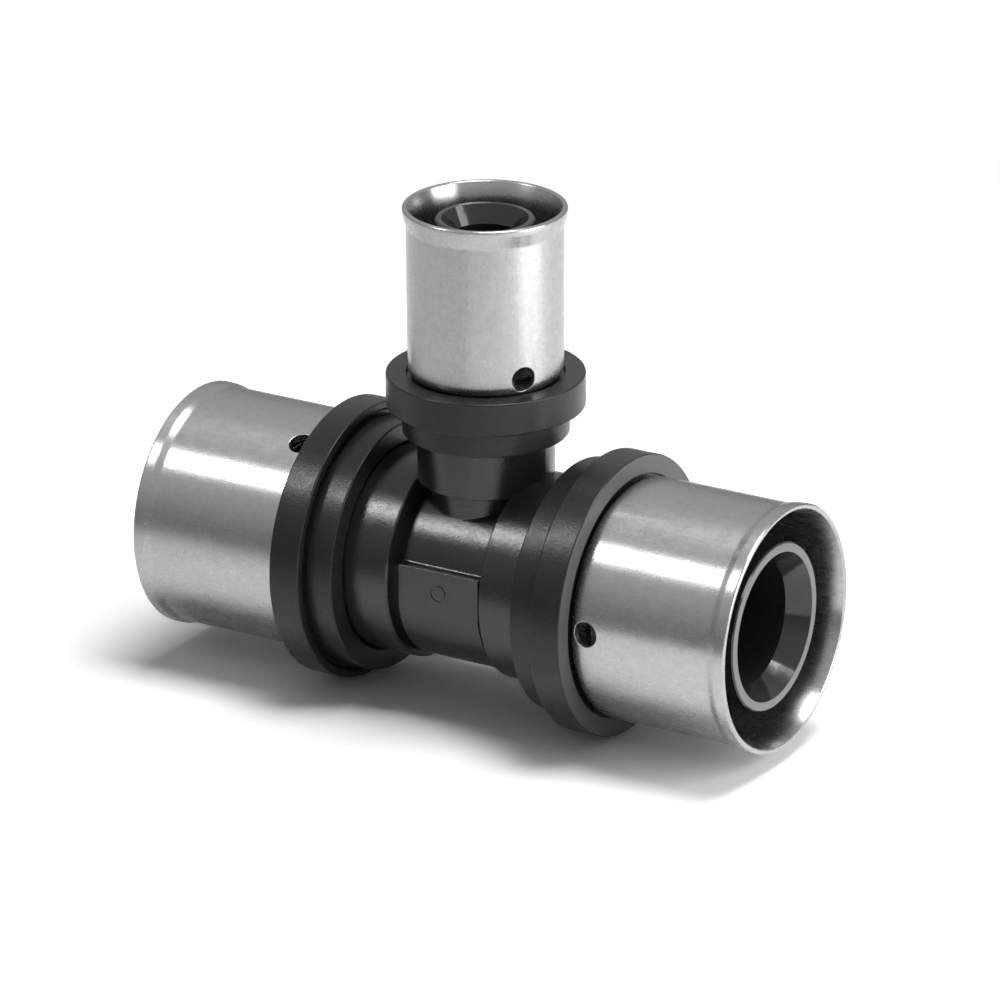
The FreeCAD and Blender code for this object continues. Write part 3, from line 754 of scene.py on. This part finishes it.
def satin_steel(name, look, axis):
    """Deep-drawn stainless sheet, polished round the port: cloudy gloss that is drawn out along the
    port, faint draw marks and a fine grain."""
    base, roughness = look.steel_colour, look.steel_roughness
    along = tuple(float(letter == axis) for letter in "XYZ")
    nodes = Nodes(name)
    shader = nodes.principled(Metallic=1.0)
    shader.inputs["Anisotropic"].default_value = look.steel_stretch
    shader.inputs["Anisotropic Rotation"].default_value = 0.25
    around = nodes.add("ShaderNodeTangent", direction_type="RADIAL", axis=axis)
    nodes.join(around.outputs["Tangent"], shader.inputs["Tangent"])
    cloud = nodes.noise(0.0008, detail=5, roughness=0.75)
    nodes.join(nodes.tint(cloud, scaled_colour(base, 0.8), scaled_colour(base, 1.2)),
               shader.inputs["Base Color"])
    drawn = tuple(0.08 if axis else 1.0 for axis in along)
    streaks = nodes.noise(0.0004, detail=3, scale=drawn)
    gloss = nodes.add("ShaderNodeMix", data_type="FLOAT")
    gloss.inputs["Factor"].default_value = 0.4
    nodes.join(nodes.noise(0.0018, detail=5, roughness=0.6), gloss.inputs["A"])
    nodes.join(streaks, gloss.inputs["B"])
    nodes.join(nodes.spread(gloss.outputs["Result"], roughness - 0.03, roughness + 0.04),
               shader.inputs["Roughness"])
    wave = nodes.bump(nodes.noise(0.0035, detail=2), 9e-6)
    lines = nodes.bump(streaks, 6e-7, below=wave)
    grain = nodes.bump(nodes.noise(0.00025, detail=2), 4e-6, below=lines)
    nodes.join(grain, shader.inputs["Normal"])
    return nodes.material


def rubber(name, base, roughness):
    """Moulded rubber with a slight sheen of grease."""
    nodes = Nodes(name)
    shader = nodes.principled(IOR=1.5)
    shader.inputs["Coat Weight"].default_value = 0.3
    shader.inputs["Coat Roughness"].default_value = 0.25
    nodes.join(nodes.tint(nodes.noise(0.002), scaled_colour(base, 0.8), scaled_colour(base, 1.3)),
               shader.inputs["Base Color"])
    nodes.join(nodes.spread(nodes.noise(0.0008, detail=4), roughness - 0.06, roughness + 0.08),
               shader.inputs["Roughness"])
    nodes.join(nodes.bump(nodes.noise(0.00015), 2e-6), shader.inputs["Normal"])
    return nodes.material


def finish(item, material, node):
    """Give a piece its material and its place on the frame, and hide the frame's node that it stands for.
    """
    item.data.materials.clear()
    item.data.materials.append(material)
    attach(item, "root")
    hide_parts(node)


# Operators

class TEE_OT_body(bpy.types.Operator):
    """Finish the moulded body: its shape is the frame's own, with smooth curves and its grain"""

    bl_idname = "tee.body"
    bl_label = "Moulded Body"

    def execute(self, context):
        look = context.scene.tee_finish
        item = joined_copy("tee_body_finish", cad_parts["tee_body"])
        finish(item, black_moulding(look), "tee_body")
        return {"FINISHED"}


class TEE_OT_rings(bpy.types.Operator):
    """Make the three retaining rings, turned from one outline"""

    bl_idname = "tee.rings"
    bl_label = "Retaining Rings"

    def execute(self, context):
        look = context.scene.tee_finish
        shared = context.scene.tee_shared
        material = ring_moulding(look)
        for name, outward in OUTWARD.items():
            shell = Shell()
            for run in ring_runs(port_sizes(name), shared):
                shell.add(*turned(run, all_round(2 * shared.turn_step)))
            item = shell.build(name + "_ring_finish", outward)
            finish(item, material, name + "_ring")
        return {"FINISHED"}


class TEE_OT_sleeves(bpy.types.Operator):
    """Make the three press sleeves, with their bent feet, windows and flared lips"""

    bl_idname = "tee.sleeves"
    bl_label = "Press Sleeves"

    def execute(self, context):
        look = context.scene.tee_finish
        shared = context.scene.tee_shared
        turns = {"right": shared.right_turn, "left": shared.left_turn, "branch": shared.branch_turn}
        run_steel = satin_steel("satin_steel_run", look, "X")
        branch_steel = satin_steel("satin_steel_branch", look, "Z")
        for name, outward in OUTWARD.items():
            shell = sleeve_shell(port_sizes(name), shared)
            place = outward @ Matrix.Rotation(turns[name], 4, "Z")
            item = shell.build(name + "_sleeve_finish", place)
            material = branch_steel if name == "branch" else run_steel
            finish(item, material, name + "_sleeve")
        return {"FINISHED"}


class TEE_OT_seals(bpy.types.Operator):
    """Make the six seals, two in the grooves of each insert"""

    bl_idname = "tee.seals"
    bl_label = "Seals"

    def execute(self, context):
        look = context.scene.tee_finish
        shared = context.scene.tee_shared
        material = rubber("black_rubber", look.seal_colour, look.seal_roughness)
        for name, outward in OUTWARD.items():
            port = port_sizes(name)
            reaches = {"inner": port.inner_seal_reach, "outer": port.outer_seal_reach}
            for place, reach in reaches.items():
                shell = seal_shell(port, shared, reach)
                item = shell.build(f"{name}_{place}_seal_finish", outward)
                finish(item, material, f"{name}_{place}_seal")
        return {"FINISHED"}


class TEE_OT_studio(bpy.types.Operator):
    """Lay the white paper, hang the lamps and set the camera. The key lamp only shows in gloss"""

    bl_idname = "tee.studio"
    bl_label = "Studio"

    def execute(self, context):
        settings = context.scene.tee_studio
        lay_paper(settings)
        light_world(context.scene, settings)
        key = hang_lamp("key_lamp", azimuth=-47, elevation=48, distance=0.55, size=(0.09, 0.125),
                        radiance=20)
        key.visible_diffuse = False
        hang_lamp("top_lamp", azimuth=110, elevation=80, distance=1.5, size=(0.66, 0.66), radiance=12)
        hang_lamp("side_lamp", azimuth=98, elevation=18, distance=0.3, size=(0.2, 0.2), radiance=4.7)
        set_camera(context.scene, settings)
        context.scene.view_settings.view_transform = "Standard"
        return {"FINISHED"}


def lay_paper(settings):
    """A level sheet of white paper that ends outside the picture, in front and on the left. The
    camera, mirrors and glass see a brighter white, so that the lit paper turns white and keeps its
    shadows."""
    mesh = bpy.data.meshes.new("paper")
    corners = [(0.008, -0.118), (0.05, -0.3), (0.7, -0.3), (0.7, 0.7), (0.3, 0.7), (-0.118, 0.062),
               (-0.073, 0)]
    mesh.from_pydata([(x, y, FLOOR_LEVEL) for x, y in corners], [], [range(len(corners))])
    floor = link("paper", mesh)

    nodes = Nodes("white_paper")
    choice = nodes.add("ShaderNodeMixShader")
    nodes.join(seen_directly(nodes.tree), choice.inputs["Fac"])
    for place, lift in ((1, 1.0), (2, settings.floor_lift)):
        white = np.array(settings.floor_colour) * lift
        paper = nodes.add("ShaderNodeBsdfDiffuse")
        nodes.join(nodes.tint(nodes.noise(0.0006), white * 0.99, white * 1.01), paper.inputs["Color"])
        nodes.join(paper.outputs["BSDF"], choice.inputs[place])
    nodes.join(choice.outputs["Shader"], nodes.output.inputs["Surface"])
    mesh.materials.append(nodes.material)


def seen_directly(tree):
    """1 for rays from the camera, and for those that come from it by way of metal or glass."""
    path = tree.nodes.new("ShaderNodeLightPath")
    total = path.outputs["Is Camera Ray"]
    for kind in ("Is Glossy Ray", "Is Transmission Ray"):
        larger = tree.nodes.new("ShaderNodeMath")
        larger.operation = "MAXIMUM"
        tree.links.new(total, larger.inputs[0])
        tree.links.new(path.outputs[kind], larger.inputs[1])
        total = larger.outputs["Value"]
    return total


# How bright the room is, from straight below (0) by way of the horizon (0.5) to overhead (1)
ROOM_LEVELS = ((0.0, 1.02), (0.33, 1.02), (0.44, 0.31), (0.5, 0.29), (0.62, 0.46), (0.75, 0.63),
               (1.0, 0.66))


def light_world(scene, settings):
    """A room that is grey above, dark at the horizon and white below the paper, with a white
    backdrop for the camera. Dull surfaces get a share of its light."""
    world = bpy.data.worlds.new("studio_room")
    scene.world = world
    world.use_nodes = True
    tree = world.node_tree
    tree.nodes.clear()
    direction = tree.nodes.new("ShaderNodeTexCoord")
    parts = tree.nodes.new("ShaderNodeSeparateXYZ")
    tree.links.new(direction.outputs["Generated"], parts.inputs["Vector"])
    ramp = tree.nodes.new("ShaderNodeValToRGB")
    stops = ramp.color_ramp.elements
    for place, level in ROOM_LEVELS[1:-1]:
        stops.new(place).color = (level, level, level, 1)
    for stop, (place, level) in ((stops[0], ROOM_LEVELS[0]), (stops[-1], ROOM_LEVELS[-1])):
        stop.color = (level, level, level, 1)
    half = tree.nodes.new("ShaderNodeMapRange")
    half.inputs["From Min"].default_value = -1
    tree.links.new(parts.outputs["Z"], half.inputs["Value"])
    tree.links.new(half.outputs["Result"], ramp.inputs["Fac"])
    path = tree.nodes.new("ShaderNodeLightPath")
    fill = tree.nodes.new("ShaderNodeMapRange")
    fill.inputs["To Min"].default_value = 1
    fill.inputs["To Max"].default_value = settings.fill
    tree.links.new(path.outputs["Is Diffuse Ray"], fill.inputs["Value"])
    room = tree.nodes.new("ShaderNodeBackground")
    tree.links.new(ramp.outputs["Color"], room.inputs["Color"])
    tree.links.new(fill.outputs["Result"], room.inputs["Strength"])
    white = tree.nodes.new("ShaderNodeBackground")
    white.inputs["Color"].default_value = (1, 1, 1, 1)
    choice = tree.nodes.new("ShaderNodeMixShader")
    tree.links.new(path.outputs["Is Camera Ray"], choice.inputs["Fac"])
    tree.links.new(room.outputs["Background"], choice.inputs[1])
    tree.links.new(white.outputs["Background"], choice.inputs[2])
    output = tree.nodes.new("ShaderNodeOutputWorld")
    tree.links.new(choice.outputs["Shader"], output.inputs["Surface"])


def toward(azimuth, elevation):
    """The direction that an azimuth to the right of the front and a height above the horizon give."""
    return Vector((math.sin(azimuth) * math.cos(elevation),
                   -math.cos(azimuth) * math.cos(elevation), math.sin(elevation)))


def hang_lamp(name, azimuth, elevation, distance, size, radiance):
    """A soft box that faces the part. Its power is radiance times its area times pi."""
    width, height = size
    data = bpy.data.lights.new(name, "AREA")
    data.shape = "RECTANGLE"
    data.size = width
    data.size_y = height
    data.energy = radiance * width * height * math.pi
    lamp = bpy.data.objects.new(name, data)
    bpy.context.scene.collection.objects.link(lamp)
    way = toward(math.radians(azimuth), math.radians(elevation))
    lamp.location = way * distance
    lamp.rotation_mode = "QUATERNION"
    lamp.rotation_quaternion = way.to_track_quat("Z", "Y")
    return lamp


def set_camera(scene, settings):
    data = bpy.data.cameras.new("camera")
    data.lens = settings.lens
    data.sensor_width = 36
    data.shift_x = settings.shift_x
    data.shift_y = settings.shift_y
    data.clip_start = 0.05
    data.clip_end = 10
    camera = bpy.data.objects.new("camera", data)
    scene.collection.objects.link(camera)
    back = toward(settings.azimuth, settings.elevation)
    level = Vector((math.cos(settings.azimuth), math.sin(settings.azimuth), 0))
    up = back.cross(level)
    right = level * math.cos(settings.roll) + up * math.sin(settings.roll)
    top = up * math.cos(settings.roll) - level * math.sin(settings.roll)
    turn = Matrix((right, top, back)).transposed()
    camera.matrix_world = Matrix.Translation(back * settings.distance) @ turn.to_4x4()
    scene.camera = camera


class VIEW3D_PT_reducing_tee(bpy.types.Panel):
    """The steps that finish the tee"""

    bl_label = "Reducing Tee"
    bl_space_type = "VIEW_3D"
    bl_region_type = "UI"
    bl_category = "Tee"

    def draw(self, context):
        column = self.layout.column()
        for step in STEPS:
            column.operator(step.bl_idname)
        for group in (context.scene.tee_run, context.scene.tee_finish, context.scene.tee_studio):
            box = column.box()
            for name in group.__annotations__:
                box.prop(group, name)


GROUPS = {
    "tee_run": RunPortSizes,
    "tee_branch": BranchPortSizes,
    "tee_shared": SharedSizes,
    "tee_finish": FinishSettings,
    "tee_studio": StudioSettings,
}
STEPS = (TEE_OT_body, TEE_OT_rings, TEE_OT_sleeves, TEE_OT_seals, TEE_OT_studio)


def register():
    for kind in (*GROUPS.values(), *STEPS, VIEW3D_PT_reducing_tee):
        bpy.utils.register_class(kind)
    for name, kind in GROUPS.items():
        setattr(bpy.types.Scene, name, PointerProperty(type=kind))


def unregister():
    for name in GROUPS:
        delattr(bpy.types.Scene, name)
    for kind in reversed((*GROUPS.values(), *STEPS, VIEW3D_PT_reducing_tee)):
        bpy.utils.unregister_class(kind)


def main():
    register()
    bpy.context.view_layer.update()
    bpy.ops.tee.body()
    bpy.ops.tee.rings()
    bpy.ops.tee.sleeves()
    bpy.ops.tee.seals()
    bpy.ops.tee.studio()


if __name__ == "__main__":
    main()
